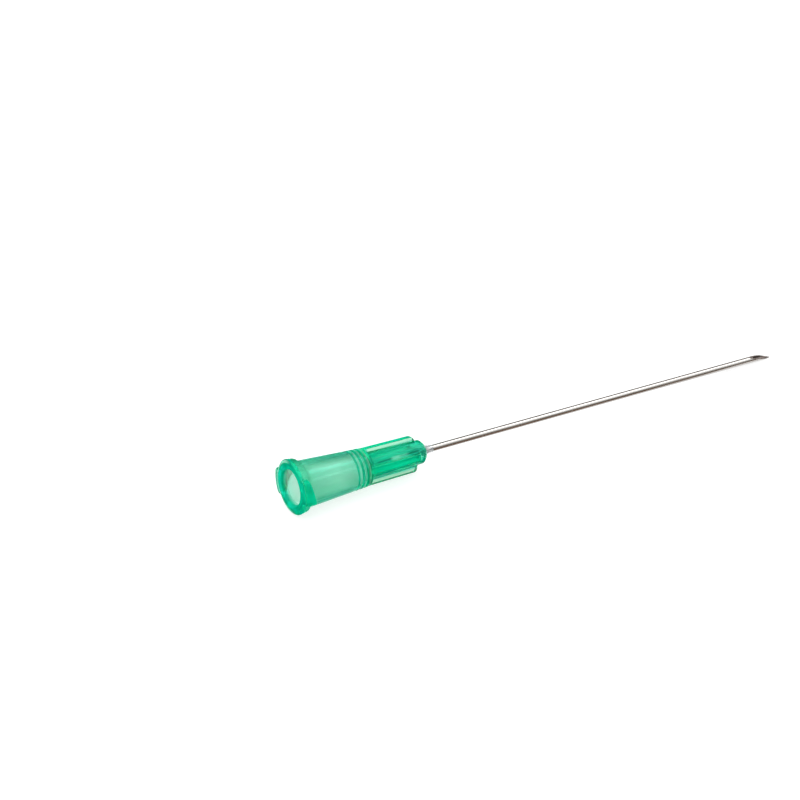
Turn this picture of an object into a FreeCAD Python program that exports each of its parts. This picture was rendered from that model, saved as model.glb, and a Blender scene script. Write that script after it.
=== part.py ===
import FreeCAD, Part
import math
import os

from FreeCAD import Placement, Rotation, Vector

# A single-use hypodermic needle: a moulded hub with a tapered female socket and two
# locking lugs, a bevelled steel tube, and the cured resin that holds one in the other.
# Lengths are millimetres and angles are degrees.
#
# Each piece is first made along +X, from the open face of the hub at x = 0 to the point
# of the tube, and then laid down as it rests: on the rim of the hub and on the point.
# Angles about the needle's axis run from +Y towards +Z, so 90 faces up and 270 down.

# Hub, along the axis
HUB_LENGTH = 17.75
RIM_LENGTH = 1.05
RIM_BACK_LENGTH = 0.45
BARREL_END = 7.70
RING_COUNT = 3
RING_PITCH = 0.62
RING_WIDTH = 0.34
SHOULDER_START = 9.75
SHOULDER_LENGTH = 0.55
NOSE_CHAMFER = 0.42

# Hub, across the axis
RIM_RADIUS = 3.36
RIM_FRONT_RADIUS = 3.22
RIM_EDGE = 0.20
BARREL_BACK_RADIUS = 2.82
BARREL_FRONT_RADIUS = 2.42
RING_GROOVE_DEPTH = 0.09
SHOULDER_RADIUS = 2.30
CORE_BACK_RADIUS = 1.64
CORE_FRONT_RADIUS = 1.43

# Locking lugs: the back flank of each follows the thread of the collar it screws into
LUG_COUNT = 2
LUG_ANGLE = 161.0
LUG_SPAN = 55.0
LUG_RADIUS = 3.90
LUG_THIN_LENGTH = 0.66
LUG_LEAD = 5.10
LUG_FLANK_SLOPE = 0.22
LUG_RAMP_SPAN = 13.0
LUG_SECTIONS = 9

# Gripping fins on the front of the hub
FIN_COUNT = 4
FIN_ANGLE = 163.0
FIN_WIDTH = 0.95
FIN_BACK_RADIUS = 2.30
FIN_FRONT_RADIUS = 2.20
FIN_SETBACK = 1.20
FIN_END_CHAMFER = 0.32

# Female socket: the 6 per cent taper that every syringe tip fits
SOCKET_MOUTH_DIAMETER = 4.30
SOCKET_TAPER = 0.06
SOCKET_DEPTH = 8.60
SOCKET_LEAD_IN = 0.18
CHAMBER_RADIUS = 1.45
CHAMBER_LENGTH = 0.60
STEP_LENGTH = 0.30
FUNNEL_LENGTH = 0.75

# Steel tube
CANNULA_DIAMETER = 0.80
LUMEN_DIAMETER = 0.52
EXPOSED_LENGTH = 50.0
SEATED_LENGTH = 6.9
BEVEL_LENGTH = 3.5
LANCET_ANGLE = 20.0
LANCET_TURN = 35.0
LANCET_SETBACK = 0.16
BEVEL_FACES = 100.0
GRINDER_MARGIN = 2.5

# Resin joint
SEAT_CLEARANCE = 0.02
WELL_RADIUS = 0.74
WELL_DEPTH = 1.45
MENISCUS_LENGTH = 1.35
MENISCUS_EDGE = 0.03
MENISCUS_SAG = 0.09

CANNULA_RADIUS = CANNULA_DIAMETER / 2
LUMEN_RADIUS = LUMEN_DIAMETER / 2
SEAT_RADIUS = CANNULA_RADIUS + SEAT_CLEARANCE
TIP_X = HUB_LENGTH + EXPOSED_LENGTH
CANNULA_BACK_X = HUB_LENGTH - SEATED_LENGTH
WELL_START = HUB_LENGTH - WELL_DEPTH
LUG_STEP = 360.0 / LUG_COUNT
FIN_STEP = 360.0 / FIN_COUNT
RIM_FOOT_X = RIM_LENGTH + RIM_BACK_LENGTH
FIN_END = HUB_LENGTH - FIN_SETBACK
BEVEL_POINT = BEVEL_FACES + 180.0
GRINDER_SIZE = 2 * (BEVEL_LENGTH + GRINDER_MARGIN)


def around(angle, radius, x=0.0):
    """The point at this angle and distance from the needle's axis."""
    turn = math.radians(angle)
    return Vector(x, radius * math.cos(turn), radius * math.sin(turn))


def revolved(points):
    """Turns a closed outline of (x, radius) points about the needle's axis."""
    corners = [Vector(x, radius, 0) for x, radius in points]
    face = Part.Face(Part.makePolygon(corners + corners[:1]))
    return face.revolve(Vector(), Vector(1, 0, 0), 360)


def beyond(point, normal):
    """A block whose near face passes through the point and faces against the normal."""
    block = Part.makeBox(GRINDER_SIZE, GRINDER_SIZE, GRINDER_SIZE)
    block.translate(Vector(-GRINDER_SIZE / 2, -GRINDER_SIZE / 2, 0))
    block.Placement = Placement(point, Rotation(Vector(0, 0, 1), normal)).multiply(block.Placement)
    return block


def ring_outline():
    """Points of the fine rings between the barrel and the shoulder, from back to front."""
    points = []
    fall = (BARREL_FRONT_RADIUS - SHOULDER_RADIUS) / (SHOULDER_START - BARREL_END)
    flank = RING_GROOVE_DEPTH / 2
    for index in range(RING_COUNT):
        crest = BARREL_END + (index + 0.5) * RING_PITCH - RING_WIDTH / 2
        radius = BARREL_FRONT_RADIUS - fall * (crest - BARREL_END)
        groove = radius - RING_GROOVE_DEPTH
        points += [(crest - flank, groove), (crest, radius)]
        points += [(crest + RING_WIDTH, radius), (crest + RING_WIDTH + flank, groove)]
    return points


def hub_body():
    """The hub's turned outside, as a solid without its fins, lugs or holes."""
    return revolved([
        (0, 0),
        (0, RIM_RADIUS - RIM_EDGE),
        (RIM_EDGE, RIM_RADIUS),
        (RIM_LENGTH, RIM_FRONT_RADIUS),
        (RIM_FOOT_X, BARREL_BACK_RADIUS),
        (BARREL_END, BARREL_FRONT_RADIUS),
        *ring_outline(),
        (SHOULDER_START, SHOULDER_RADIUS),
        (SHOULDER_START + SHOULDER_LENGTH, CORE_BACK_RADIUS),
        (HUB_LENGTH - NOSE_CHAMFER, CORE_FRONT_RADIUS),
        (HUB_LENGTH, CORE_FRONT_RADIUS - NOSE_CHAMFER),
        (HUB_LENGTH, 0),
    ])


def lug_section(angle, past_thin_end):
    """The closed outline of a lug on the half plane at this angle about the axis."""
    length = LUG_THIN_LENGTH + LUG_LEAD * past_thin_end / 360.0
    rise = min(1.0, past_thin_end / LUG_RAMP_SPAN)
    root = BARREL_FRONT_RADIUS
    crest = RIM_FRONT_RADIUS + (LUG_RADIUS - RIM_FRONT_RADIUS) * math.sin(rise * math.pi / 2)
    flank = LUG_FLANK_SLOPE * (crest - root)
    outline = [(0, root), (0, crest - RIM_EDGE), (RIM_EDGE, crest), (length, crest), (length + flank, root)]
    corners = [around(angle, radius, x) for x, radius in outline]
    return Part.makePolygon(corners + corners[:1])


def lug(centre):
    """One lug, lofted through sections from its thin leading end to its thick end."""
    sections = []
    for index in range(LUG_SECTIONS):
        past = LUG_SPAN * index / (LUG_SECTIONS - 1)
        sections.append(lug_section(centre - LUG_SPAN / 2 + past, past))
    return Part.makeLoft(sections, True, False)


def fins():
    """The gripping fins: crossed plates trimmed to a slightly tapered envelope."""
    envelope = revolved([
        (SHOULDER_START, 0),
        (SHOULDER_START, FIN_BACK_RADIUS),
        (FIN_END - FIN_END_CHAMFER, FIN_FRONT_RADIUS),
        (FIN_END, FIN_FRONT_RADIUS - FIN_END_CHAMFER),
        (FIN_END, 0),
    ])
    plates = []
    for index in range(FIN_COUNT):
        plate = Part.makeBox(FIN_END - SHOULDER_START, FIN_BACK_RADIUS + FIN_WIDTH, FIN_WIDTH)
        plate.translate(Vector(SHOULDER_START, 0, -FIN_WIDTH / 2))
        plate.rotate(Vector(), Vector(1, 0, 0), FIN_ANGLE + index * FIN_STEP)
        plates.append(plate)
    return plates[0].multiFuse(plates[1:]).common(envelope)


def hub_hollow():
    """Everything open inside the hub: socket, chamber, funnel, seat and resin well."""
    mouth = SOCKET_MOUTH_DIAMETER / 2
    floor = mouth - SOCKET_TAPER / 2 * SOCKET_DEPTH
    lead_in = mouth - SOCKET_TAPER / 2 * SOCKET_LEAD_IN
    chamber_start = SOCKET_DEPTH + STEP_LENGTH
    chamber_end = chamber_start + CHAMBER_LENGTH
    return revolved([
        (0, 0),
        (0, mouth + SOCKET_LEAD_IN),
        (SOCKET_LEAD_IN, lead_in),
        (SOCKET_DEPTH, floor),
        (chamber_start, CHAMBER_RADIUS),
        (chamber_end, CHAMBER_RADIUS),
        (chamber_end + FUNNEL_LENGTH, SEAT_RADIUS),
        (WELL_START, SEAT_RADIUS),
        (HUB_LENGTH, WELL_RADIUS),
        (HUB_LENGTH, 0),
    ])


def make_hub():
    """The one-piece moulding that locks on to a syringe."""
    solid = hub_body().fuse(fins())
    for index in range(LUG_COUNT):
        solid = solid.fuse(lug(LUG_ANGLE + index * LUG_STEP))
    return solid.removeSplitter().cut(hub_hollow())


def make_cannula():
    """The steel tube, ground to a bevel with two side facets that form the point."""
    length = TIP_X - CANNULA_BACK_X + LANCET_SETBACK
    start = Vector(CANNULA_BACK_X, 0, 0)
    along = Vector(1, 0, 0)
    tube = Part.makeCylinder(CANNULA_RADIUS, length, start, along)
    tube = tube.cut(Part.makeCylinder(LUMEN_RADIUS, length, start, along))
    bevel_angle = math.atan(CANNULA_DIAMETER / BEVEL_LENGTH)
    edge = around(BEVEL_POINT, CANNULA_RADIUS, TIP_X + LANCET_SETBACK)
    normal = around(BEVEL_FACES, math.cos(bevel_angle), math.sin(bevel_angle))
    tube = tube.cut(beyond(edge, normal))
    point = around(BEVEL_POINT, CANNULA_RADIUS, TIP_X)
    lancet = math.radians(LANCET_ANGLE)
    for side in (-1, 1):
        normal = around(BEVEL_FACES + side * LANCET_TURN, math.cos(lancet), math.sin(lancet))
        tube = tube.cut(beyond(point, normal))
    return tube


def make_adhesive():
    """Cured resin: it fills the well round the tube and climbs the tube in a meniscus."""
    end = HUB_LENGTH + MENISCUS_LENGTH
    rim = Vector(HUB_LENGTH, WELL_RADIUS, 0)
    top = Vector(end, CANNULA_RADIUS + MENISCUS_EDGE, 0)
    inward = Vector(top.y - rim.y, rim.x - top.x, 0).normalize()
    hollow = (rim + top) / 2 + inward * MENISCUS_SAG
    corners = [
        top,
        Vector(end, CANNULA_RADIUS, 0),
        Vector(WELL_START, CANNULA_RADIUS, 0),
        Vector(WELL_START, SEAT_RADIUS, 0),
        rim,
    ]
    edges = [Part.Arc(rim, hollow, top).toShape(), *Part.makePolygon(corners).Edges]
    face = Part.Face(Part.Wire(Part.__sortEdges__(edges)))
    return face.revolve(Vector(), Vector(1, 0, 0), 360)


def resting_placement():
    """Lays the needle on its rim and its point, with the floor at z = 0."""
    reach = TIP_X - RIM_EDGE
    tilt = math.atan((RIM_RADIUS - CANNULA_RADIUS) / reach)
    height = RIM_EDGE * math.sin(tilt) + RIM_RADIUS * math.cos(tilt)
    back = -(RIM_RADIUS - RIM_EDGE) * math.sin(tilt)
    front = TIP_X * math.cos(tilt) - CANNULA_RADIUS * math.sin(tilt)
    lean = Rotation(Vector(0, 1, 0), math.degrees(tilt))
    return Placement(Vector(-(back + front) / 2, 0, height), lean)


def main():
    os.makedirs("parts", exist_ok=True)
    laid = resting_placement()
    pieces = {"hub": make_hub(), "cannula": make_cannula(), "adhesive": make_adhesive()}
    for name, shape in pieces.items():
        shape.Placement = laid.multiply(shape.Placement)
        shape.exportStep(f"parts/{name}.step")


main()
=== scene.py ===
"""A single-use hypodermic needle lying on a pale floor: hub, steel tube and cured resin.

Every shape is worked out in millimetres in the needle's own frame, which runs along its
axis from the open face of the hub to the point, and is then laid down as the CAD part lies.
"""

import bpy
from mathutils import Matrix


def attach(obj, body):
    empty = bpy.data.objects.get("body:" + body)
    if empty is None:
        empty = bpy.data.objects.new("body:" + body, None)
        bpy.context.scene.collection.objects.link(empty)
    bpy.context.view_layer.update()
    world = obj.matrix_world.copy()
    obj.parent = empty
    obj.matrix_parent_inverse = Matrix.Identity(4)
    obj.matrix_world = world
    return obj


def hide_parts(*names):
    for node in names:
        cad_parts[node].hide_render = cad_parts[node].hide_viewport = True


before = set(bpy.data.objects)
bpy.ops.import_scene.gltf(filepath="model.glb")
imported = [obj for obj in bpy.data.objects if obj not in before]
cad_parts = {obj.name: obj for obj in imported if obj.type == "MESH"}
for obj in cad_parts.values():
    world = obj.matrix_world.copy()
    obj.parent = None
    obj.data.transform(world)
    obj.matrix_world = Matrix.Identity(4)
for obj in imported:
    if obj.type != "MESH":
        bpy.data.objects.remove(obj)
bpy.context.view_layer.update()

import logging
import math
from dataclasses import dataclass, field
from enum import Enum

import bpy
import numpy as np
from mathutils import Matrix, Vector

Array = np.ndarray
Triple = tuple[float, float, float]
Colour = Triple
Span = tuple[float, float]
MM = 0.001
TURN = 2 * math.pi
BODY = "root"
log = logging.getLogger("needle")


class Slot(Enum):
    """Names of the material slots."""

    HUB = "hub_plastic"
    TUBE = "cannula_steel"
    RESIN = "cured_resin"


@dataclass(frozen=True)
class Lie:
    """How the needle lies: on the rim of its hub and on its point, tipped about +Y."""

    rim_radius: float = 3.36
    rim_edge: float = 0.20
    tube_radius: float = 0.40
    point_x: float = 67.75

    @property
    def tilt(self) -> float:
        """The dip of the axis towards the point, in radians."""
        return math.atan((self.rim_radius - self.tube_radius) / (self.point_x - self.rim_edge))

    @property
    def origin(self) -> tuple[float, float]:
        """The row frame's x and z of the middle of the hub's open face, in millimetres."""
        back = -(self.rim_radius - self.rim_edge) * math.sin(self.tilt)
        front = self.point_x * math.cos(self.tilt) - self.tube_radius * math.sin(self.tilt)
        height = self.rim_edge * math.sin(self.tilt) + self.rim_radius * math.cos(self.tilt)
        return -(back + front) / 2, height

    def place(self, along: Array, radius: Array, angle: Array) -> Array:
        """Lays points given about the needle's axis down in the row frame.

        A point at distance along the axis and radius from it, at an angle from +Y
        towards +Z, is turned about +Y by the tilt and moved to the origin.

        Args:
            along: Distances from the hub's open face, in millimetres.
            radius: Distances from the axis, in millimetres.
            angle: Angles about the axis, in radians.

        Returns:
            The points in metres, with x, y and z last.
        """
        x0, z0 = self.origin
        up = radius * np.sin(angle)
        x = x0 + along * math.cos(self.tilt) + up * math.sin(self.tilt)
        z = z0 - along * math.sin(self.tilt) + up * math.cos(self.tilt)
        return np.stack(np.broadcast_arrays(x, radius * np.cos(angle), z), -1) * MM


LIE = Lie()


def smooth_union(a: Array, b: Array, blend: Array | float) -> Array:
    """Joins two distance fields with a fillet: the least, lowered by h squared over 4 blends.

    Args:
        a: Distances to the first shape.
        b: Distances to the second shape.
        blend: Size of the fillet.

    Returns:
        Distances to both shapes together.
    """
    near = np.maximum(blend - np.abs(a - b), 0.0)
    return np.minimum(a, b) - near * near / (4 * blend)


def smooth_overlap(a: Array, b: Array, blend: Array | float) -> Array:
    """Keeps what two distance fields share, with a rounded edge.

    Args:
        a: Distances to the first shape.
        b: Distances to the second shape.
        blend: Size of the rounding.

    Returns:
        Distances to what they share.
    """
    return -smooth_union(-a, -b, blend)


def eased(value: Array, low: Array | float, high: Array | float) -> Array:
    """Runs smoothly from 0 at low to 1 at high.

    Args:
        value: The numbers to ease.
        low: Where the result leaves 0.
        high: Where it reaches 1.

    Returns:
        The eased share.
    """
    share = np.clip((value - low) / (high - low), 0.0, 1.0)
    return share * share * (3 - 2 * share)


def band(value: Array, rise: Span, fall: Span) -> Array:
    """Rises smoothly from 0 to 1 over one span, and falls back to 0 over another.

    Args:
        value: The numbers to ease.
        rise: Where the result leaves 0 and where it reaches 1.
        fall: Where it leaves 1 and where it is back at 0.

    Returns:
        The eased share.
    """
    return eased(value, *rise) * (1 - eased(value, *fall))


def stretch(value: Array, start: Array | float, stop: Array | float, ease: float = 0.3) -> Array:
    """Gives 1 from start to stop, easing to 0 beyond each.

    Args:
        value: The numbers to ease.
        start: Where the stretch starts.
        stop: Where it stops.
        ease: How far beyond them it eases.

    Returns:
        The eased share.
    """
    return band(value, (start - ease, start), (stop, stop + ease))


def softened(outline: Array, cut: float, steps: int) -> Array:
    """Rounds the corners of an open outline.

    Each inner corner C gives way to the curve (1-t)^2 A + 2t(1-t) C + t^2 B, where A and B
    lie on its two sides at the cut, or nearer where a side is short.

    Args:
        outline: The outline's points, one row each.
        cut: How far from a corner its curve starts.
        steps: Points on each curve.

    Returns:
        The rounded outline's points.
    """
    side = np.diff(outline, axis=0)
    length = np.linalg.norm(side, axis=1, keepdims=True)
    reach = np.minimum(cut, 0.45 * length)
    corner = outline[1:-1]
    before = corner - side[:-1] / length[:-1] * reach[:-1]
    after = corner + side[1:] / length[1:] * reach[1:]
    t = np.linspace(0.0, 1.0, steps)[None, :, None]
    curve = (1 - t) ** 2 * before[:, None] + 2 * t * (1 - t) * corner[:, None] + t**2 * after[:, None]
    return np.concatenate([outline[:1], curve.reshape(-1, outline.shape[1]), outline[-1:]])


def even_rows(along: Array, radius: Array, rows: int, bend_weight: float) -> tuple[Array, Array]:
    """Spreads rows evenly over a profile's length, and closer where it bends.

    The measure of a step is its length plus bend_weight times the angle it turns by, and
    the rows stand at equal shares of the sum, in every column at once.

    Args:
        along: Fine positions along the axis, one for each sample.
        radius: The radius at each sample and column.
        rows: Steps that the profile gets.
        bend_weight: Millimetres that one radian of bend counts for.

    Returns:
        The rows' positions along the axis and their radii, as two arrays of rows by columns.
    """
    columns = radius.shape[1]
    dx = np.diff(along)[:, None] * np.ones((1, columns))
    dr = np.diff(radius, axis=0)
    heading = np.arctan2(dr, dx)
    bend = np.abs(np.diff(heading, axis=0, prepend=heading[:1]))
    measure = np.cumsum(np.hypot(dx, dr) + bend_weight * bend, axis=0)
    measure = np.concatenate([np.zeros((1, columns)), measure]) / measure[-1]
    lane = 2.0 * np.arange(columns)
    known = (measure + lane).T.ravel()
    wanted = (np.linspace(0.0, 1.0, rows + 1)[:, None] + lane).T.ravel()
    positions = np.repeat(along[:, None], columns, axis=1)
    found = [np.interp(wanted, known, values.T.ravel()) for values in (positions, radius)]
    x, r = (values.reshape(columns, rows + 1).T for values in found)
    return x, r


def spaced_turns(coarse: float, fine: list[Triple]) -> Array:
    """Angles round the axis that crowd where the shape needs it.

    The density is one over the coarse spacing plus a bell round each fine place, and the
    angles stand at equal shares of its running sum.

    Args:
        coarse: Spacing away from the fine places, in degrees.
        fine: The fine places, each its angle, half width and spacing in degrees.

    Returns:
        The angles in radians, from 0 up to a whole turn without its end.
    """
    sample = np.linspace(0.0, 360.0, 14401)
    centre, width, spacing = (np.array(values)[:, None] for values in zip(*fine))
    away = np.abs((sample[None] - centre + 180.0) % 360.0 - 180.0)
    density = 1 / coarse + (np.exp(-((away / width) ** 4)) / spacing).max(0)
    total = np.concatenate([[0.0], np.cumsum((density[1:] + density[:-1]) / 2 * np.diff(sample))])
    count = math.ceil(total[-1])
    return np.radians(np.interp(np.arange(count) * total[-1] / count, total, sample))


def skin(name: str, points: Array, sharp_degrees: float | None = None, **values: Array) -> bpy.types.Object:
    """Makes a piece from a grid of points that closes on itself both ways.

    Point (u, v) joins (u + 1, v), (u + 1, v + 1) and (u, v + 1), counted round both ways,
    and the faces are turned over if the solid's volume comes out negative.

    Args:
        name: The piece's name.
        points: Points in metres, rows by columns by 3.
        sharp_degrees: Edges that turn by more stay sharp. None smooths all of them.
        values: Numbers kept on each point under their own names, rows by columns.

    Returns:
        The new object, at the origin, with its place in its mesh.
    """
    rows, columns = points.shape[:2]
    index = np.arange(rows * columns).reshape(rows, columns)
    down, across = np.roll(index, -1, 0), np.roll(index, -1, 1)
    faces = np.stack([index, down, np.roll(down, -1, 1), across], -1).reshape(-1, 4)
    flat = points.reshape(-1, 3)
    a, b, c = (flat[faces[:, k]] - flat.mean(0) for k in (0, 1, 2))
    d = flat[faces[:, 3]] - flat.mean(0)
    volume = np.einsum("ij,ij->i", a, np.cross(b, c)).sum() + np.einsum("ij,ij->i", a, np.cross(c, d)).sum()
    if volume < 0:
        faces = faces[:, ::-1]
    mesh = bpy.data.meshes.new(name)
    mesh.vertices.add(len(flat))
    mesh.vertices.foreach_set("co", flat.astype(np.float32).ravel())
    mesh.loops.add(faces.size)
    mesh.loops.foreach_set("vertex_index", np.ascontiguousarray(faces, np.int32).ravel())
    mesh.polygons.add(len(faces))
    mesh.polygons.foreach_set("loop_start", np.arange(0, faces.size, 4, dtype=np.int32))
    for label, numbers in values.items():
        layer = mesh.attributes.new(label, "FLOAT", "POINT")
        layer.data.foreach_set("value", np.broadcast_to(numbers, (rows, columns)).astype(np.float32).ravel())
    mesh.update(calc_edges=True)
    mesh.shade_smooth()
    if sharp_degrees is not None:
        mesh.set_sharp_from_angle(angle=math.radians(sharp_degrees))
    piece = bpy.data.objects.new(name, mesh)
    bpy.context.scene.collection.objects.link(piece)
    return piece


class Wire:
    """A shader value that Python arithmetic can be written on."""

    def __init__(self, tree: "Shading", socket: bpy.types.NodeSocket) -> None:
        """Keeps the tree that new nodes go into, and the socket that gives the value."""
        self.tree = tree
        self.socket = socket

    def _maths(self, operation: str, *values: "Wire | float") -> "Wire":
        """Adds one Math node that does the operation on the values, in order."""
        return self.tree.node("ShaderNodeMath", {"operation": operation}, dict(enumerate(values)))

    def __add__(self, other: "Wire | float") -> "Wire":
        """The sum."""
        return self._maths("ADD", self, other)

    def __sub__(self, other: "Wire | float") -> "Wire":
        """The difference."""
        return self._maths("SUBTRACT", self, other)

    def __rsub__(self, other: float) -> "Wire":
        """A number less this value."""
        return self._maths("SUBTRACT", other, self)

    def __mul__(self, other: "Wire | float") -> "Wire":
        """The product."""
        return self._maths("MULTIPLY", self, other)

    __radd__ = __add__

    def within(self, low: float, high: float) -> "Wire":
        """Runs smoothly from 0 at low to 1 at high."""
        sockets = {"Value": self, "From Min": low, "From Max": high}
        return self.tree.node("ShaderNodeMapRange", {"interpolation_type": "SMOOTHSTEP"}, sockets)


class Shading:
    """The node tree of one material or world."""

    def __init__(self, owner: bpy.types.Material | bpy.types.World) -> None:
        """Empties the owner's tree."""
        owner.use_nodes = True
        self.tree = owner.node_tree
        self.tree.nodes.clear()

    def node(
        self,
        kind: str,
        settings: dict[str, object] | None = None,
        sockets: dict[str | int, object] | None = None,
        output: str | int = 0,
    ) -> Wire:
        """Adds any node: its settings first, then the values or links of its sockets.

        Args:
            kind: The node's type.
            settings: Its properties.
            sockets: What goes into its inputs, by name or number.
            output: The output that is wanted.

        Returns:
            That output.
        """
        made = self.tree.nodes.new(kind)
        for name, value in (settings or {}).items():
            setattr(made, name, value)
        for name, value in (sockets or {}).items():
            target = made.inputs[name]
            if isinstance(value, Wire):
                self.tree.links.new(value.socket, target)
            elif isinstance(value, tuple) and target.type == "RGBA":
                target.default_value = (*value, 1.0)
            else:
                target.default_value = value
        return Wire(self, made.outputs[output])

    def mixed(self, share: Wire | float, first: Wire | Colour, second: Wire | Colour) -> Wire:
        """Mixes two colours, where share is how much of the second there is."""
        return self.node("ShaderNodeMix", {"data_type": "RGBA"}, {0: share, 6: first, 7: second}, 2)

    def along_needle(self, cells: Triple) -> Wire:
        """Object coordinates turned so that x runs along the needle's axis, in cells.

        Args:
            cells: Cells to a metre along each axis.

        Returns:
            The coordinates as a vector.
        """
        place = self.node("ShaderNodeTexCoord", output="Object")
        turned = self.node("ShaderNodeMapping", None, {"Vector": place, "Rotation": (0.0, -LIE.tilt, 0.0)})
        return self.node("ShaderNodeVectorMath", {"operation": "MULTIPLY"}, {0: turned, 1: cells})

    def grain(self, cells: Triple, detail: float, rough: float = 0.5) -> Wire:
        """Noise from 0 to 1, given its cells to a metre, its finer layers and their strength."""
        sockets = {"Vector": self.along_needle(cells), "Scale": 1.0, "Detail": detail, "Roughness": rough}
        return self.node("ShaderNodeTexNoise", None, sockets)

    def kept(self, name: str) -> Wire:
        """The number that a piece's mesh keeps under this name."""
        return self.node("ShaderNodeAttribute", {"attribute_name": name}, output="Fac")

    def bump(self, height: Wire, strength: float, depth: float) -> Wire:
        """A normal bumped by a height from 0 to 1, with its strength and its depth in metres."""
        return self.node("ShaderNodeBump", None, {"Height": height, "Strength": strength, "Distance": depth})

    def finish(self, kind: str, surface: Wire, volume: Wire | None = None) -> None:
        """Sends the surface, and what fills the piece, to the output.

        Args:
            kind: The output node's type.
            surface: The surface shader.
            volume: The volume shader, where there is one.
        """
        sockets = {"Surface": surface} | ({} if volume is None else {"Volume": volume})
        out = self.tree.nodes.new(kind)
        for name, wire in sockets.items():
            self.tree.links.new(wire.socket, out.inputs[name])


@dataclass(frozen=True)
class TintedPolypropylene:
    """Clear-moulded green polypropylene: a faint haze, and a tint that deepens with thickness."""

    name: str = "tinted_polypropylene"
    flow_cells: Triple = (260.0, 900.0, 900.0)
    skin_cells: Triple = (9000.0, 9000.0, 9000.0)
    streak_cells: Triple = (90.0, 2600.0, 2600.0)
    pale: Colour = (1.0, 1.0, 0.95)
    flow_tint: Colour = (0.93, 1.0, 0.91)
    deep: Colour = (0.01, 0.91, 0.76)
    passes: Colour = (0.02, 0.91, 0.72)
    density: float = 900.0
    haze_thin: float = 0.05
    haze_thick: float = 0.44
    haze_edge: float = 0.32
    haze_facing: Span = (0.30, 0.46)
    haze_shade: float = 0.5
    haze_pale: Colour = (0.0, 0.64, 0.37)
    haze_deep: Colour = (0.0, 0.38, 0.21)
    barrel_cloud: Colour = (0.0, 0.28, 0.16)
    shade_cloud: Colour = (0.0, 0.13, 0.075)
    # the cream of the painted highlight on the fins' flat sides
    fin_side_highlight_tint: Colour = (1.0, 0.86, 0.74)
    frost: Colour = (0.99, 0.97, 0.93)
    painted_highlight_frost: Colour = (0.42, 0.95, 0.74)
    frost_share: float = 0.72
    clearness: float = 1.0
    refraction: float = 1.49
    gloss_tint: Colour = (0.12, 1.0, 0.80)
    dullness: float = 0.30
    sheen_floor: float = 0.03
    sheen_range: float = 0.06
    sheen_streak: float = 0.04
    bump_strength: float = 0.35
    bump_depth: float = 0.00001

    def material(self) -> bpy.types.Material:
        """Builds the material, which reads the numbers that the hub's paint gives, painted shade and painted
        highlights among them.

        Returns:
            The material, for the hub.
        """
        made = bpy.data.materials.new(self.name)
        nodes = Shading(made)
        flow = nodes.grain(self.flow_cells, 3.0)
        skin_grain = nodes.grain(self.skin_cells, 2.0)
        streak = nodes.grain(self.streak_cells, 2.0)
        depth, dulled, barrel, shade = (nodes.kept(name) for name in ("deep", "dulled", "barrel", "shade"))
        thin = nodes.mixed(flow.within(0.35, 0.68), self.pale, self.flow_tint)
        # painted highlight: a cream tint on the fins' flat sides
        thin = nodes.mixed(nodes.kept("fin_side_highlight"), thin, self.fin_side_highlight_tint)
        sheen = self.sheen_floor + flow * self.sheen_range + streak * self.sheen_streak
        height = skin_grain * 0.25 + streak * 0.5 + flow * 0.6
        surface = nodes.node("ShaderNodeBsdfPrincipled", None, {
            "Base Color": nodes.mixed(depth, thin, self.deep),
            "Roughness": sheen + dulled * self.dullness,
            "IOR": self.refraction,
            "Transmission Weight": self.clearness,
            "Specular Tint": self.gloss_tint,
            "Normal": nodes.bump(height, self.bump_strength, self.bump_depth),
        })
        milk = nodes.mixed(flow.within(0.30, 0.70), self.haze_pale, self.haze_deep)
        milk = nodes.mixed(shade, nodes.mixed(barrel, milk, self.barrel_cloud), self.shade_cloud)
        cloud = nodes.node("ShaderNodeBsdfPrincipled", None, {
            "Base Color": milk,
            "Roughness": 0.5,
            "Specular IOR Level": 0.0,
            "Subsurface Weight": 1.0,
            "Subsurface Radius": (0.4, 1.0, 0.7),
            "Subsurface Scale": 0.0008,
        })
        facing = nodes.node("ShaderNodeLayerWeight", None, {"Blend": 0.5}, "Facing")
        edge = facing.within(*self.haze_facing) * barrel * self.haze_edge + shade * self.haze_shade
        haze = self.haze_thin + edge + depth * (self.haze_thick - self.haze_thin)
        hazy = nodes.node("ShaderNodeMixShader", None, {0: haze, 1: surface, 2: cloud})
        # outside the bore this frost stands for painted highlights and takes their colour
        frost = nodes.node("ShaderNodeBsdfPrincipled", None, {
            "Base Color": nodes.mixed(dulled, self.painted_highlight_frost, self.frost),
            "Roughness": 0.5,
            "Specular IOR Level": 0.0,
        })
        covered = nodes.kept("frost_and_highlights") * self.frost_share
        whole = nodes.node("ShaderNodeMixShader", None, {0: covered, 1: hazy, 2: frost})
        absorbed = {"Color": self.passes, "Density": self.density}
        inside = nodes.node("ShaderNodeVolumeAbsorption", None, absorbed)
        nodes.finish("ShaderNodeOutputMaterial", whole, inside)
        return made


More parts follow.
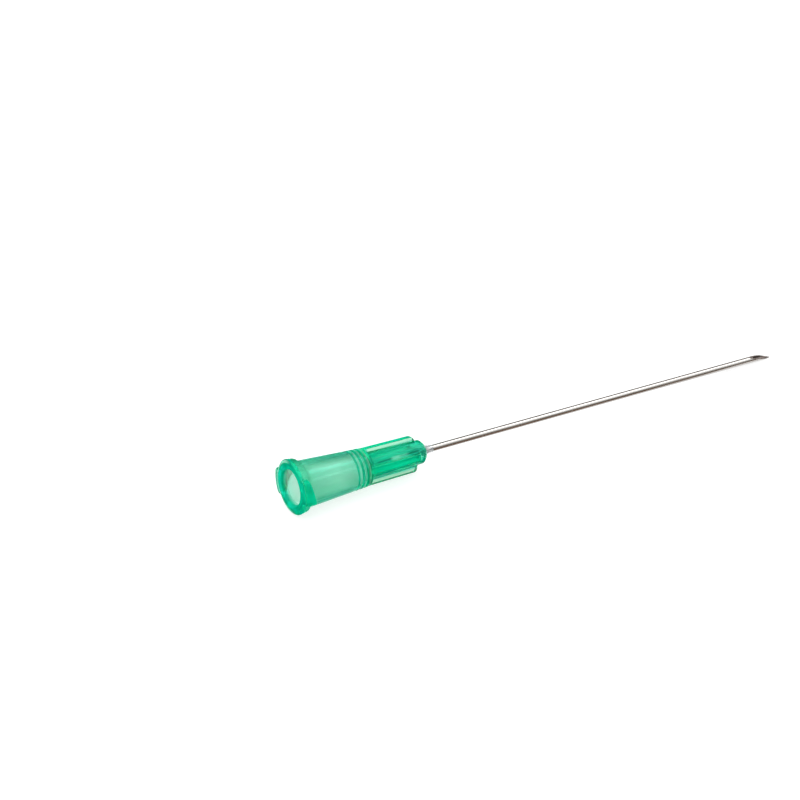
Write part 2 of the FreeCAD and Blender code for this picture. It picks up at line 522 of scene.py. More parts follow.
@dataclass(frozen=True)
class DrawnSteel:
    """Bright stainless tube: fine lines along it from drawing, and ground faces at the point."""

    name: str = "drawn_steel"
    line_cells: Triple = (130.0, 16000.0, 16000.0)
    stain_cells: Triple = (420.0, 2200.0, 2200.0)
    grind_cells: Triple = (26000.0, 1400.0, 26000.0)
    bright: Colour = (0.58, 0.56, 0.54)
    dull: Colour = (0.41, 0.39, 0.37)
    warm: Colour = (0.42, 0.34, 0.28)
    ground_low: Colour = (0.34, 0.30, 0.28)
    ground_high: Colour = (0.52, 0.47, 0.44)
    # painted shade inside the bore
    inside: Colour = (0.15, 0.125, 0.115)
    stain_share: float = 0.35
    polish: float = 0.17
    line_rough: float = 0.14
    ground_rough: float = 0.12
    bore_rough: float = 0.15
    bump_strength: float = 0.30
    bump_depth: float = 0.000006

    def material(self) -> bpy.types.Material:
        """Builds the material, which reads the mesh's numbers "ground" and "bore".

        Returns:
            The material, for the tube.
        """
        made = bpy.data.materials.new(self.name)
        nodes = Shading(made)
        lines = nodes.grain(self.line_cells, 4.0, 0.6)
        patches = nodes.grain(self.stain_cells, 3.0)
        cross = nodes.grain(self.grind_cells, 3.0)
        ground, bore = nodes.kept("ground"), nodes.kept("bore")
        drawn = nodes.mixed(lines.within(0.30, 0.72), self.dull, self.bright)
        stained = nodes.mixed(patches.within(0.55, 0.85) * self.stain_share, drawn, self.warm)
        faces = nodes.mixed(cross.within(0.35, 0.65), self.ground_low, self.ground_high)
        # painted shade: the bore's inside is coloured far darker than the steel outside
        colour = nodes.mixed(bore, nodes.mixed(ground, stained, faces), self.inside)
        rough = self.polish + lines * self.line_rough + ground * self.ground_rough + bore * self.bore_rough
        height = (1 - ground) * lines + ground * cross
        surface = nodes.node("ShaderNodeBsdfPrincipled", None, {
            "Base Color": colour,
            "Metallic": 1.0,
            "Roughness": rough,
            "Normal": nodes.bump(height, self.bump_strength, self.bump_depth),
        })
        nodes.finish("ShaderNodeOutputMaterial", surface)
        return made


@dataclass(frozen=True)
class CuredResin:
    """Clear, slightly milky resin, cured glossy with a little ripple."""

    name: str = "cured_resin"
    clear: Colour = (0.96, 0.98, 0.99)
    milky: Colour = (0.80, 0.84, 0.88)
    ripple_cells: Triple = (1400.0, 2600.0, 2600.0)
    polish: float = 0.05
    ripple_rough: float = 0.12
    refraction: float = 1.52
    clearness: float = 0.93
    bump_strength: float = 0.4
    bump_depth: float = 0.00003

    def material(self) -> bpy.types.Material:
        """Builds the material.

        Returns:
            The material, for the resin joint.
        """
        made = bpy.data.materials.new(self.name)
        nodes = Shading(made)
        cloud = nodes.grain(self.ripple_cells, 3.0)
        surface = nodes.node("ShaderNodeBsdfPrincipled", None, {
            "Base Color": nodes.mixed(cloud.within(0.35, 0.70), self.clear, self.milky),
            "Roughness": self.polish + cloud * self.ripple_rough,
            "IOR": self.refraction,
            "Transmission Weight": self.clearness,
            "Normal": nodes.bump(cloud, self.bump_strength, self.bump_depth),
        })
        nodes.finish("ShaderNodeOutputMaterial", surface)
        return made


@dataclass
class Hub:
    """The green moulding: rim, two locking lugs, barrel, fine rings, fins, nose and socket."""

    length: float = 17.75
    rim_radius: float = LIE.rim_radius
    rim_front: float = 3.22
    rim_length: float = 1.05
    rim_edge: float = LIE.rim_edge
    rim_back: float = 0.45
    barrel_back: float = 2.82
    barrel_front: float = 2.42
    barrel_end: float = 7.70
    ring_count: int = 3
    ring_pitch: float = 0.62
    ring_width: float = 0.34
    ring_groove: float = 0.09
    # where the rings' painted shade is darkest
    ring_dark: float = 8.46
    shoulder_start: float = 9.75
    shoulder_length: float = 0.55
    shoulder_radius: float = 2.30
    core_back: float = 1.64
    core_front: float = 1.43
    nose_chamfer: float = 0.42
    lug_angle: float = 161.0
    lug_span: float = 55.0
    lug_radius: float = 3.90
    lug_thin: float = 0.66
    lug_lead: float = 5.10
    lug_slope: float = 0.22
    lug_ramp: float = 13.0
    fin_angle: float = 163.0
    fin_width: float = 0.95
    fin_back: float = 2.30
    fin_front: float = 2.20
    fin_setback: float = 1.20
    fin_chamfer: float = 0.32
    socket_mouth: float = 2.15
    socket_taper: float = 0.03
    socket_depth: float = 8.60
    socket_lead_in: float = 0.18
    step_length: float = 0.30
    chamber_radius: float = 1.45
    chamber_length: float = 0.60
    funnel_length: float = 0.75
    seat_radius: float = 0.42
    well_radius: float = 0.74
    well_depth: float = 1.45
    edge_blend: float = 0.10
    lug_blend: float = 0.16
    root_blend: float = 0.20
    hollow_blend: float = 0.07
    face_rows: tuple[float, ...] = (0.35, 0.62, 0.80, 0.91, 0.97)
    face_depth: float = 1.0
    far_angle: float = 345.0
    far_edge: Span = (-0.2, 0.3)
    # where the painted highlight on the far side's front lip ends
    wall_tint: Span = (1.2, 1.6)
    far_lip_highlight: Span = (0.10, 0.35)
    rim_depth: float = 0.9
    rim_tint: Span = (0.2, 0.45)
    rim_reach: Span = (3.38, 3.50)
    ring_end: Span = (9.35, 9.7)
    solid_depth: float = 0.7
    solid_start: Span = (9.45, 9.75)
    flat_side: Span = (-0.10, -0.03)
    mouth_start: float = 0.36
    mouth_slant: float = 0.14
    mouth_depth: float = 1.5
    lip_shade: float = 0.30
    lip_far_shade: float = 0.45
    frost_fades: Span = (2.6, 4.2)
    frost_fade: float = 0.75
    frost_end: Span = (9.9, 10.2)
    dull_start: Span = (0.3, 1.0)
    # how much frost stands for painted highlights on the rings; the plastic's colour of the same name is the
    # colour of all painted highlights outside
    painted_highlight_frost: float = 0.24
    ring_highlight_end: Span = (9.5, 9.7)
    # how much frost stands for the painted highlights on the rim's edges
    rim_highlight_frost: float = 0.75
    # painted highlights along the rim's edges: radii where each rises, radii where it falls, and where it
    # ends along the axis
    rim_highlight_lines: tuple[tuple[Span, Span, Span], ...] = (
        ((2.98, 3.04), (3.22, 3.28), (0.10, 0.16)),
        ((3.45, 3.52), (3.74, 3.82), (0.40, 0.60)),
    )
    barrel_start: Span = (1.6, 2.2)
    # painted shade and painted highlights at the fins' feet
    foot_offset: float = 0.62
    foot_width: float = 0.15
    foot_reach: float = 2.15
    foot_highlight_frost: float = 0.35
    foot_highlight_fade: float = 0.7
    # each mark: side, start, stop, weight of painted shade, weight of painted highlight
    foot_shade_and_highlight_marks: tuple[tuple[int, float, float, float, float], ...] = (
        (1, 10.9, 12.9, 1.0, 0.0), (1, 14.9, 16.4, 1.0, 0.0), (-1, 11.4, 14.0, 1.0, 0.0),
        (1, 13.0, 13.6, 0.0, 1.0), (1, 13.6, 14.9, 0.0, 0.4), (-1, 14.2, 15.0, 0.0, 1.0),
    )
    # painted highlight streaks: angle, width and strength of each
    highlight_streak_marks: tuple[Triple, ...] = (
        (115.5, 7.5, 0.20), (139.8, 2.4, 0.18), (20.0, 9.0, 0.16), (66.0, 3.0, 0.12), (205.0, 3.5, 0.10),
        (238.0, 10.0, 0.14), (290.0, 4.0, 0.14), (330.0, 7.0, 0.18),
    )
    finish: TintedPolypropylene = field(default_factory=TintedPolypropylene)

    def turned_radius(self, along: Array) -> Array:
        """The radius of the turned outside, as straight runs from corner to corner.

        Args:
            along: Positions along the axis.

        Returns:
            The radius at each.
        """
        index = np.arange(self.ring_count)
        fall = (self.barrel_front - self.shoulder_radius) / (self.shoulder_start - self.barrel_end)
        crest = self.barrel_end + (index + 0.5) * self.ring_pitch - self.ring_width / 2
        high = self.barrel_front - fall * (crest - self.barrel_end)
        low = high - self.ring_groove
        flank = self.ring_groove / 2
        ring_x = np.stack([crest - flank, crest, crest + self.ring_width, crest + self.ring_width + flank], 1)
        ring_r = np.stack([low, high, high, low], 1)
        nose = self.length - self.nose_chamfer
        back = self.rim_length + self.rim_back
        head_x = [0, self.rim_edge, self.rim_length, back, self.barrel_end]
        face = self.rim_radius - self.rim_edge
        head_r = [face, self.rim_radius, self.rim_front, self.barrel_back, self.barrel_front]
        tail_x = [self.shoulder_start, self.shoulder_start + self.shoulder_length, nose, self.length]
        tail_r = [self.shoulder_radius, self.core_back, self.core_front, self.core_front - self.nose_chamfer]
        x = np.concatenate([head_x, ring_x.ravel(), tail_x])
        r = np.concatenate([head_r, ring_r.ravel(), tail_r])
        return np.interp(along, x, r)

    def rounded_radius(self, along: Array) -> tuple[Array, Array]:
        """The turned radius as a running mean over a short window, and its slope.

        Args:
            along: Positions along the axis.

        Returns:
            The rounded radius and its slope at each position.
        """
        step, half = 0.005, 12
        fine = np.arange(-20 * step, self.length + 20 * step, step)
        window = np.hanning(2 * half + 3)[1:-1]
        padded = np.pad(self.turned_radius(fine), half, mode="edge")
        mean = np.convolve(padded, window / window.sum(), mode="valid")
        return np.interp(along, fine, mean), np.interp(along, fine, np.gradient(mean, step))

    def lugs(self, x: Array, r: Array, turn: Array) -> Array:
        """Distance to the two lugs: what crest, helical flank, chamfer and ends share.

        Args:
            x: Positions along the axis.
            r: Distances from the axis.
            turn: Angles from the first fin, in radians.

        Returns:
            The distance to the nearer lug.
        """
        half = math.radians(self.lug_span / 2)
        middle = math.radians(self.lug_angle - self.fin_angle)
        within = (turn - middle + math.pi / 2) % math.pi - math.pi / 2
        past = np.degrees(within + half)
        rise = np.sin(np.clip(past / self.lug_ramp, 0, 1) * math.pi / 2)
        crest = self.rim_front + (self.lug_radius - self.rim_front) * rise
        back = self.lug_thin + self.lug_lead * np.clip(past, 0, self.lug_span) / 360
        flank = (x - back + self.lug_slope * (r - crest)) / math.hypot(1, self.lug_slope)
        chamfer = (r - crest + self.rim_edge - x) / math.sqrt(2)
        ends = np.maximum(r * np.sin(within - half), r * np.sin(-half - within))
        shape = smooth_overlap(r - crest, flank, self.edge_blend)
        shape = smooth_overlap(shape, chamfer, self.edge_blend)
        return smooth_overlap(shape, ends, self.lug_blend)

    def beside_fins(self, r: Array, turn: Array) -> Array:
        """Distance from the flat sides of the nearer fins, less than 0 within them."""
        return np.minimum(np.abs(r * np.sin(turn)), np.abs(r * np.cos(turn))) - self.fin_width / 2

    def fins(self, x: Array, r: Array, turn: Array) -> Array:
        """Distance to the crossed fins: two plates within a slightly tapered envelope.

        Args:
            x: Positions along the axis.
            r: Distances from the axis.
            turn: Angles from the first fin, in radians.

        Returns:
            The distance to the fins.
        """
        end = self.length - self.fin_setback
        fall = (self.fin_back - self.fin_front) / (end - self.fin_chamfer - self.shoulder_start)
        envelope = r - self.fin_back + fall * (x - self.shoulder_start)
        slant = (envelope + x - end + self.fin_chamfer) / math.sqrt(2)
        shape = smooth_overlap(self.beside_fins(r, turn), envelope, self.edge_blend)
        shape = smooth_overlap(shape, slant, self.edge_blend)
        shape = smooth_overlap(shape, x - end, self.edge_blend)
        return np.maximum(shape, self.shoulder_start - x)

    def outer_radius(self, along: Array, turn: Array) -> Array:
        """The outside's radius at each position and angle.

        It is where the joined distance fields of the turned body, fins and lugs cross
        zero on the way out from the axis, found by halving a span for all points at once.
        The fillet at the foot of the fins opens up over a short way past the shoulder.

        Args:
            along: Positions along the axis.
            turn: Angles from the first fin.

        Returns:
            The radius, positions by angles.
        """
        x, t = np.meshgrid(along, turn, indexing="ij")
        body, slope = (values[:, None] for values in self.rounded_radius(along))
        steep = np.sqrt(1 + slope**2)
        past = np.clip((x - self.shoulder_start - 0.1) / 0.4, 0, 1)
        root = 0.001 + (self.root_blend - 0.001) * past
        low, high = np.full(x.shape, 0.8), np.full(x.shape, self.lug_radius + 0.1)
        for _ in range(20):
            r = (low + high) / 2
            field_value = smooth_union((r - body) / steep, self.fins(x, r, t), root)
            field_value = smooth_union(field_value, self.lugs(x, r, t), self.edge_blend)
            inside = field_value < 0
            low, high = np.where(inside, r, low), np.where(inside, high, r)
        return (low + high) / 2

    def hollow(self) -> Array:
        """The rounded outline of the inside, from the nose's face back to the mouth's.

        Returns:
            Positions along the axis and radii, one row for each point.
        """
        floor = self.socket_mouth - self.socket_taper * self.socket_depth
        lead_in = self.socket_mouth - self.socket_taper * self.socket_lead_in
        chamber = self.socket_depth + self.step_length
        funnel = chamber + self.chamber_length
        face_middle = (self.core_front - self.nose_chamfer + self.well_radius) / 2
        outline = np.array([
            (self.length, face_middle),
            (self.length, self.well_radius),
            (self.length - self.well_depth, self.seat_radius),
            (funnel + self.funnel_length, self.seat_radius),
            (funnel, self.chamber_radius),
            (chamber, self.chamber_radius),
            (self.socket_depth, floor),
            (self.socket_lead_in, lead_in),
            (0.0, self.socket_mouth + self.socket_lead_in),
            (0.0, self.socket_mouth + self.socket_lead_in + 0.25),
        ])
        return softened(outline, self.hollow_blend, 6)

    def wall(self, along: Array, turn: Array) -> Array:
        """The wall's thickness at each point: the outer radius less the hollow's.

        Args:
            along: Positions along the axis, rows by columns.
            turn: The columns' angles.

        Returns:
            The thickness in millimetres.
        """
        fine = np.linspace(0.0, self.length, 400)
        hollow = self.hollow()[::-1]
        thick = self.outer_radius(fine, turn) - np.interp(fine, hollow[:, 0], hollow[:, 1])[:, None]
        lane = (self.length + 1.0) * np.arange(len(turn))
        known = (fine[:, None] + lane).T.ravel()
        return np.interp((along + lane).ravel(), known, thick.T.ravel()).reshape(along.shape)

    def far_side(self, turn: Array) -> Array:
        """1 on the side of the moulding away from the first fin's, 0 on that side."""
        away = np.cos(turn + math.radians(self.fin_angle - self.far_angle))
        return eased(away, *self.far_edge)

    def ring_shade_phase(self, x: Array) -> Array:
        """Painted shade along the rings: 1 where a ring is painted darkest, 0 half a pitch on, and a cosine
        between. One less it places the rings' painted highlights.
        """
        return 0.5 + 0.5 * np.cos(TURN * (x - self.ring_dark) / self.ring_pitch)

    def highlight_streaks(self, turn: Array) -> Array:
        """Painted highlights: pale streaks along the barrel, each a bell round the axis.

        Args:
            turn: The columns' angles from the first fin.

        Returns:
            How pale each column is.
        """
        angle = np.degrees(turn) + self.fin_angle
        bells = [
            height * np.exp(-((((angle - centre + 180.0) % 360.0 - 180.0) / width) ** 2))
            for centre, width, height in self.highlight_streak_marks
        ]
        return np.maximum.reduce(bells)

    def tint_depth(self, x: Array, r: Array, turn: Array) -> tuple[Array, Array]:
        """How deep the tint looks on the outside, from 0 over thin walls to 1 over thick ones.

        The barrel is thin and the lugs and the solid front are thick. Painted shade deepens the tint in turns
        along the rings, the flat sides of the fins are painted as pale as a thin wall as a painted highlight,
        and on the far side the front lip is painted pale as a painted highlight.

        Args:
            x: Positions along the axis, rows by columns.
            r: Distances from the axis.
            turn: The columns' angles from the first fin.

        Returns:
            The depth at each point, and how far it is on a fin's flat side, where the painted highlight lies.
        """
        thick = eased(self.wall(x, turn), *self.wall_tint)
        # painted highlight: on the far side the tint is taken out at the front lip
        thick = thick * np.maximum(eased(x, *self.far_lip_highlight), 1 - self.far_side(turn))
        rim = self.rim_depth * (1 - eased(x, *self.rim_tint)) * (1 - eased(r, *self.rim_reach))
        # painted shade: the tint deepens in turns along the rings
        rings = self.ring_shade_phase(x) ** 2 * band(x, (self.barrel_end - 0.12, self.barrel_end), self.ring_end)
        solid = self.solid_depth * eased(x, *self.solid_start)
        end = self.length - self.fin_setback
        # painted highlight: the fins' flat sides are kept pale
        plate = eased(r, self.core_back, self.core_back + 0.2)
        plate = plate * eased(self.beside_fins(r, turn), *self.flat_side)
        plate = plate * band(x, (self.shoulder_start + 0.3, self.shoulder_start + 0.6), (end - 0.1, end))
        return np.maximum.reduce([thick, rim, rings, solid]) * (1 - plate), plate

    def fin_foot_light_and_shade(self, x: Array, r: Array, turn: Array) -> tuple[Array, Array]:
        """Painted shade and painted highlights in marks at the foot of the first fins.

        Each mark is a bell across the foot and a stretch along it.

        Args:
            x: Positions along the axis, rows by columns.
            r: Distances from the axis.
            turn: The columns' angles from the first fin.

        Returns:
            How much painted shade and how much painted highlight each point has.
        """
        foot_shade, pale = np.zeros(x.shape), np.zeros(x.shape)
        # painted shade darkens the fins' feet, and painted highlights pale them
        for side, start, stop, shade_weight, highlight_weight in self.foot_shade_and_highlight_marks:
            bell = np.exp(-(((r * np.sin(turn) + side * self.foot_offset) / self.foot_width) ** 2))
            foot = np.where((side * np.cos(turn) > 0) & (r < self.foot_reach), bell, 0.0)
            foot_shade += shade_weight * foot * stretch(x, start, stop)
            pale += highlight_weight * foot * stretch(x, start, stop)
        return foot_shade, pale

    def paint(self, x: Array, r: Array, turn: Array, zone: Array) -> dict[str, Array]:
        """The numbers that the plastic reads at each point.

        They say how deep the tint is, how much frost lies inside and how much painted highlight outside, how
        dull the gloss is, and how far the point is on the barrel, on a fin's flat side with its painted
        highlight and in painted shade.

        Args:
            x: Positions along the axis, rows by columns.
            r: Distances from the axis.
            turn: The columns' angles from the first fin.
            zone: 0 on the rows outside, 1 on those inside and 2 on those of the face.

        Returns:
            The numbers under their names.
        """
        inner = (zone == 1) * 1.0
        outer, far = 1 - inner, self.far_side(turn)
        start = self.mouth_start + self.mouth_slant * far
        depth, plate = self.tint_depth(x, r, turn)
        foot_shade, pale = self.fin_foot_light_and_shade(x, r, turn)
        mouth = self.mouth_depth * (1 - eased(x, start, start + 0.35))
        # painted highlights at the fins' feet take the tint out
        deep = np.where(zone == 1, mouth, depth * (1 - self.foot_highlight_fade * pale))
        deep = np.where(zone == 2, self.face_depth, deep)
        lip = self.lip_shade * (1 - eased(x, start, start + 0.3))
        lip = lip + self.lip_far_shade * stretch(x, start, start + 0.05) * far
        frost = eased(x, start, start + 0.5) * (1 - self.frost_fade * eased(x, *self.frost_fades))
        frost = inner * frost * (1 - eased(x, *self.frost_end))
        # painted highlights on the rings, laid on as frost between the bands of painted shade
        ring_highlights = (1 - self.ring_shade_phase(x)) ** 3 * band(x, (self.barrel_end, self.barrel_end + 0.2), self.ring_highlight_end)
        # painted highlights: pale lines along the rim's edges on the far side, laid on as frost, with the
        # tint taken out under them
        lines = [band(r, rise, fall) * (1 - eased(x, *back)) for rise, fall, back in self.rim_highlight_lines]
        bright = far * np.maximum.reduce(lines)
        barrel = outer * band(x, self.barrel_start, (self.barrel_end - 0.5, self.barrel_end - 0.1))
        marks = [ring_highlights * self.painted_highlight_frost, bright * self.rim_highlight_frost, pale * self.foot_highlight_frost]
        # painted highlights: pale streaks along the barrel, laid on as frost
        marks.append(barrel * self.highlight_streaks(turn))
        return {
            "deep": deep * (1 - outer * bright),
            # frost inside, and painted highlights laid on as frost outside
            "frost_and_highlights": frost + outer * np.maximum.reduce(marks),
            "dulled": inner * band(x, self.dull_start, self.frost_end),
            "barrel": barrel,
            # painted highlight on the fins' flat sides
            "fin_side_highlight": outer * plate,
            # painted shade: marks at the fins' feet outside, and at the lip inside the mouth
            "shade": outer * foot_shade + inner * lip,
        }

    def angles(self) -> Array:
        """The columns' angles, crowded at the sides of fins, the ends of lugs and the painted highlight
        streaks.

        Returns:
            The angles from the first fin, in radians.
        """
        half, middle = self.lug_span / 2, self.lug_angle - self.fin_angle
        fine = [(90 * k + side, 7.0, 0.9) for k in range(4) for side in (-15.5, 15.5)]
        fine += [(180 * k + middle + half, 2.0, 0.4) for k in range(2)]
        fine += [(180 * k + middle - half, 3.0, 0.9) for k in range(2)]
        fine += [((mark[0] - self.fin_angle) % 360.0, 2 * mark[1], 1.8) for mark in self.highlight_streak_marks]
        return spaced_turns(3.6, fine)

    def outside(self, turn: Array) -> tuple[Array, Array]:
        """The outside's grid from the open face to the nose, zone by zone.

        A zone has its start, its stop, the step that it is sampled at and its rows.

        Args:
            turn: The columns' angles from the first fin.

        Returns:
            Positions along the axis and radii, rows by columns.
        """
        end = self.length - self.fin_setback
        zones = [
            (0.0, 2.05, 0.01, 46),
            (2.05, self.barrel_end - 0.15, 0.2, 12),
            (self.barrel_end - 0.15, self.shoulder_start - 0.1, 0.01, 60),
            (self.shoulder_start - 0.1, self.shoulder_start + 0.95, 0.01, 26),
            (self.shoulder_start + 0.95, end - 0.55, 0.2, 14),
            (end - 0.55, end + 0.25, 0.005, 30),
            (end + 0.25, self.length, 0.01, 22),
        ]
        parts = []
        for start, stop, step, rows in zones:
            along = np.linspace(start, stop, round((stop - start) / step) + 1)
            x, r = even_rows(along, self.outer_radius(along, turn), rows, 0.06)
            parts.append((x[:-1], r[:-1]))
        parts.append((x[-1:], r[-1:]))
        x, r = (np.concatenate(values) for values in zip(*parts))
        return x, r

    def build(self) -> bpy.types.Object:
        """Makes the hub as one closed skin, from the open face out, forward and back inside.

        Returns:
            The hub.
        """
        turn = self.angles()
        outside = self.outside(turn)
        hollow = np.repeat(self.hollow()[:, :, None], len(turn), axis=2)
        mouth, edge = hollow[-1, 1], outside[1][0]
        share = np.array(self.face_rows)[:, None]
        face = (np.zeros((len(share), len(turn))), mouth + (edge - mouth) * share)
        x, r = (np.concatenate(parts) for parts in zip(outside, (hollow[:, 0], hollow[:, 1]), face))
        for _ in range(2):
            x, r = ((np.roll(v, 1, 0) + 2 * v + np.roll(v, -1, 0)) / 4 for v in (x, r))
        zone = np.repeat([0, 1, 2], [len(outside[0]), len(hollow), len(share)])[:, None]
        points = LIE.place(x, r, turn + math.radians(self.fin_angle))
        hub = skin("hub_moulding", points, **self.paint(x, r, turn, zone))
        hub.data.materials.append(self.finish.material())
        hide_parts("hub")
        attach(hub, BODY)
        return hub


@dataclass
class Tube:
    """The steel tube, ground to a bevel with two side facets that form the point."""

    radius: float = LIE.tube_radius
    bore: float = 0.26
    back_x: float = 10.85
    back_chamfer: float = 0.03
    point_x: float = LIE.point_x
    bevel_length: float = 3.5
    bevel_faces: float = 100.0
    lancet_angle: float = 20.0
    lancet_turn: float = 35.0
    lancet_setback: float = 0.16
    columns: int = 96
    rows: int = 40
    crowding: float = 2.2
    sharp_degrees: float = 30.0
    finish: DrawnSteel = field(default_factory=DrawnSteel)

    def end(self, radius: Array | float, angle: Array) -> Array:
        """Where the ground faces cut the tube off, the nearest of three planes.

        A plane through the point p that leans by the angle a towards its facing f is at
        x = p.x - ((q - p) . f) / tan a for the place q across the axis.

        Args:
            radius: Distance from the axis.
            angle: Angles about the axis, in radians.

        Returns:
            The position along the axis.
        """
        facing = math.radians(self.bevel_faces)
        bevel = self.radius * 2 / self.bevel_length
        ends = [self.point_x + self.lancet_setback - (radius * np.cos(angle - facing) + self.radius) / bevel]
        for side in (-1, 1):
            lean = math.radians(side * self.lancet_turn)
            rise = radius * np.cos(angle - facing - lean) + self.radius * math.cos(lean)
            ends.append(self.point_x - rise / math.tan(math.radians(self.lancet_angle)))
        return np.minimum.reduce(ends)

    def build(self) -> bpy.types.Object:
        """Makes the tube as one closed skin: outside, ground end, bore and back end.

        Returns:
            The tube.
        """
        angle = np.arange(self.columns) * TURN / self.columns
        share = 1 - np.linspace(1, 0, self.rows)[:, None] ** self.crowding
        start = self.back_x + self.back_chamfer
        outside = start + (self.end(self.radius, angle) - start) * share
        step = np.linspace(self.radius, self.bore, 9)[1:-1, None]
        ground = self.end(step, angle)
        inside = self.back_x + (self.end(self.bore, angle) - self.back_x) * share[::-1]
        back = np.full((1, self.columns), self.back_x)
        x = np.concatenate([outside, ground, inside, back])
        r = np.concatenate([
            np.full(outside.shape, self.radius),
            np.broadcast_to(step, ground.shape),
            np.full(inside.shape, self.bore),
            np.full(back.shape, self.radius - self.back_chamfer),
        ])
        cut = np.concatenate([
            np.zeros((len(outside) - 1, 1)),
            np.ones((len(ground) + 2, 1)),
            np.zeros((len(inside), 1)),
        ])
        bore = np.zeros((len(x), 1))
        bore[len(outside) + len(ground):-1] = 1.0
        tube = skin("steel_tube", LIE.place(x, r, angle[None]), self.sharp_degrees, ground=cut, bore=bore)
        tube.data.materials.append(self.finish.material())
        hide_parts("cannula")
        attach(tube, BODY)
        return tube


@dataclass
class ResinJoint:
    """Cured resin that fills the nose's well and climbs the tube in a hollow slope."""

    hub_length: float = 17.75
    well_depth: float = 1.45
    well_radius: float = 0.73
    seat_radius: float = 0.41
    tube_radius: float = LIE.tube_radius + 0.001
    climb: float = 1.35
    edge: float = 0.03
    sag: float = 0.09
    waver: Span = (0.10, 0.03)
    sharp_degrees: float = 50.0
    columns: int = 72
    finish: CuredResin = field(default_factory=CuredResin)

    def build(self) -> bpy.types.Object:
        """Makes the joint as one closed skin.

        Its open slope is the chord from the well's edge to the tube, lowered by the sag
        times 4 t (1 - t), and the line where it ends on the tube wavers a little.

        Returns:
            The joint.
        """
        angle = np.arange(self.columns) * TURN / self.columns
        t = np.linspace(0, 1, 24)[:, None]
        wide, small = self.waver
        waver = 1 - wide * (0.5 + 0.5 * np.cos(angle - 2.1)) - small * np.cos(3 * angle + 0.6) ** 2
        top = self.tube_radius + self.edge
        slope_x = self.hub_length + self.climb * waver * t
        slope_r = self.well_radius + (top - self.well_radius) * t - self.sag * 4 * t * (1 - t)
        slope_r = np.maximum(slope_r, self.tube_radius + self.edge / 3)
        start = self.hub_length - self.well_depth
        rest_x = np.array([start, start, start + self.well_depth / 2])[:, None]
        halfway = (self.seat_radius + self.well_radius) / 2
        rest_r = np.array([self.tube_radius, self.seat_radius, halfway])[:, None]
        foot_x = self.hub_length + self.climb * waver[None]
        x = np.concatenate([slope_x, foot_x, np.broadcast_to(rest_x, (3, self.columns))])
        r = np.concatenate([
            np.broadcast_to(slope_r, slope_x.shape),
            np.full(foot_x.shape, self.tube_radius),
            np.broadcast_to(rest_r, (3, self.columns)),
        ])
        joint = skin("resin_joint", LIE.place(x, r, angle[None]), self.sharp_degrees)
        joint.data.materials.append(self.finish.material())
        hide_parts("adhesive")
        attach(joint, BODY)
        return joint


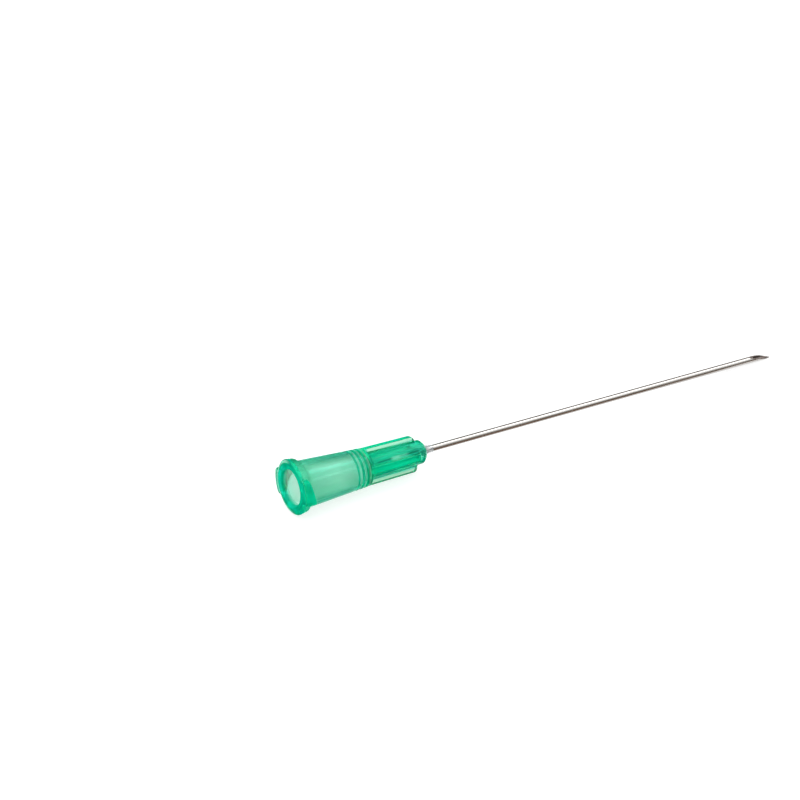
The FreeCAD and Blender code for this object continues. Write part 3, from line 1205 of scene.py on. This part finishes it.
@dataclass
class Studio:
    """The pale floor, the soft lights and the camera at the photograph's angle."""

    floor_size: float = 3.0
    floor_colour: Colour = (0.35, 0.35, 0.35)
    floor_glow: Colour = (0.75, 0.75, 0.75)
    sky: float = 1.65
    camera_place: Triple = (-193.443, -300.138, 232.379)
    camera_ahead: Triple = (0.423227, 0.728758, -0.538322)
    lens: float = 159.76

    def floor(self) -> None:
        """Lays the floor just under the needle."""
        half = self.floor_size / 2
        corners = np.array([(-half, -half), (half, -half), (half, half), (-half, half)])
        mesh = bpy.data.meshes.new("floor")
        mesh.from_pydata([(x, y, -0.00002) for x, y in corners], [], [(0, 1, 2, 3)])
        made = bpy.data.materials.new("floor_paper")
        nodes = Shading(made)
        surface = nodes.node("ShaderNodeBsdfPrincipled", None, {
            "Base Color": self.floor_colour,
            "Roughness": 0.6,
            "Specular IOR Level": 0.0,
            "Emission Color": self.floor_glow,
            "Emission Strength": 1.0,
        })
        nodes.finish("ShaderNodeOutputMaterial", surface)
        mesh.materials.append(made)
        floor = bpy.data.objects.new("floor", mesh)
        bpy.context.scene.collection.objects.link(floor)

    def surroundings(self) -> None:
        """A white room that is darker low down, and less so to the left of the needle."""
        world = bpy.data.worlds.new("white_room")
        bpy.context.scene.world = world
        nodes = Shading(world)
        way = nodes.node("ShaderNodeTexCoord", output="Generated")
        height = nodes.node("ShaderNodeSeparateXYZ", None, {0: way}, "Z").within(0.32, 0.62)
        ahead = nodes.node("ShaderNodeSeparateXYZ", None, {0: way}, "X").within(-0.80, -0.45)
        share = 1 - (1 - height) * (0.75 + ahead * 0.25)
        colour = nodes.mixed(share, (0.18, 0.19, 0.185), (1.0, 1.0, 1.0))
        sky = nodes.node("ShaderNodeBackground", None, {"Color": colour, "Strength": self.sky})
        nodes.finish("ShaderNodeOutputWorld", sky)

    def card(self, name: str, corners: list[Triple], colour: Colour, through: bool = False) -> None:
        """Sets up a card that the camera does not see, but mirror reflections do.

        Args:
            name: The card's name.
            corners: Its four corners, in metres.
            colour: The light that it gives off.
            through: Whether it is also seen through the plastic.
        """
        mesh = bpy.data.meshes.new(name)
        mesh.from_pydata(corners, [], [(0, 1, 2, 3)])
        made = bpy.data.materials.new(name)
        nodes = Shading(made)
        nodes.finish("ShaderNodeOutputMaterial", nodes.node("ShaderNodeEmission", None, {"Color": colour}))
        mesh.materials.append(made)
        card = bpy.data.objects.new(name, mesh)
        for ray in ("camera", "diffuse", "volume_scatter", "shadow"):
            setattr(card, f"visible_{ray}", False)
        card.visible_transmission = through
        bpy.context.scene.collection.objects.link(card)

    def floor_card(
        self, name: str, x: Span, y: Span, z: float, colour: Colour, through: bool = False
    ) -> None:
        """Lays a card flat at the height z, over a span of x and a span of y."""
        self.card(name, [(x[0], y[0], z), (x[1], y[0], z), (x[1], y[1], z), (x[0], y[1], z)], colour, through)

    def wall_card(self, name: str, x: Span, z: Span, y: float, colour: Colour) -> None:
        """Stands a card up behind the needle, over a span of x and a span of z."""
        self.card(name, [(x[0], y, z[0]), (x[1], y, z[0]), (x[1], y, z[1]), (x[0], y, z[1])], colour)

    def lamp(self, name: str, place: Triple, size: float, power: float) -> None:
        """Hangs one square soft box that faces the needle.

        Args:
            name: The lamp's name.
            place: Where it hangs, in metres.
            size: Its side, in metres.
            power: Its power, in watts.
        """
        data = bpy.data.lights.new(name, "AREA")
        data.shape, data.size, data.energy = "SQUARE", size, power
        lamp = bpy.data.objects.new(name, data)
        lamp.location = place
        lamp.rotation_euler = (-Vector(place)).to_track_quat("-Z", "Y").to_euler()
        bpy.context.scene.collection.objects.link(lamp)

    def camera(self) -> None:
        """Stands the camera where the photograph was taken from, with no roll."""
        data = bpy.data.cameras.new("camera")
        data.sensor_width, data.lens = 36.0, self.lens
        data.clip_start, data.clip_end = 0.01, 10.0
        camera = bpy.data.objects.new("camera", data)
        turn = Vector(self.camera_ahead).to_track_quat("-Z", "Y").to_matrix().to_4x4()
        camera.matrix_world = Matrix.Translation(Vector(self.camera_place) * MM) @ turn
        bpy.context.scene.collection.objects.link(camera)
        bpy.context.scene.camera = camera

    def build(self) -> None:
        """Sets the whole studio up."""
        self.floor()
        self.surroundings()
        wide, low, left = 0.6, -0.00001, -0.045
        nose, past = -0.0150, 0.001
        self.floor_card("front_card", (nose, wide), (-wide, -0.0015), low, (0.24, 0.145, 0.092))
        self.floor_card("front_card_hub", (left, nose), (-wide, -0.0015), low, (0.02, 0.80, 0.56))
        self.floor_card("back_card", (past, wide), (0.010, wide), low, (0.12, 0.17, 0.15), True)
        self.floor_card("back_card_hub", (left, past), (0.010, wide), low, (0.03, 0.26, 0.19), True)
        self.floor_card("left_card", (-0.08, -0.0335), (-0.0015, wide), low / 2, (0.01, 0.16, 0.11))
        self.wall_card("far_card", (past, wide), (0.0023, 0.058), 0.03, (0.20, 0.17, 0.15))
        self.wall_card("far_card_hub", (left, past), (0.0023, 0.045), 0.03, (0.01, 0.26, 0.18))
        self.floor_card("roof_card_hub", (left, 0.004), (0.002, 0.03), 0.045, (0.01, 0.26, 0.18))
        self.lamp("top_box", (0.22, 0.0, 0.46), 0.24, 0.45)
        self.camera()
        bpy.context.scene.view_settings.view_transform = "Standard"


def main() -> None:
    """Builds the studio and the three pieces in order."""
    logging.basicConfig(level=logging.INFO, format="%(name)s: %(message)s")
    Studio().build()
    for part in (Hub(), Tube(), ResinJoint()):
        piece = part.build()
        log.info("%s: %d points, %d faces", piece.name, len(piece.data.vertices), len(piece.data.polygons))


if __name__ == "__main__":
    main()
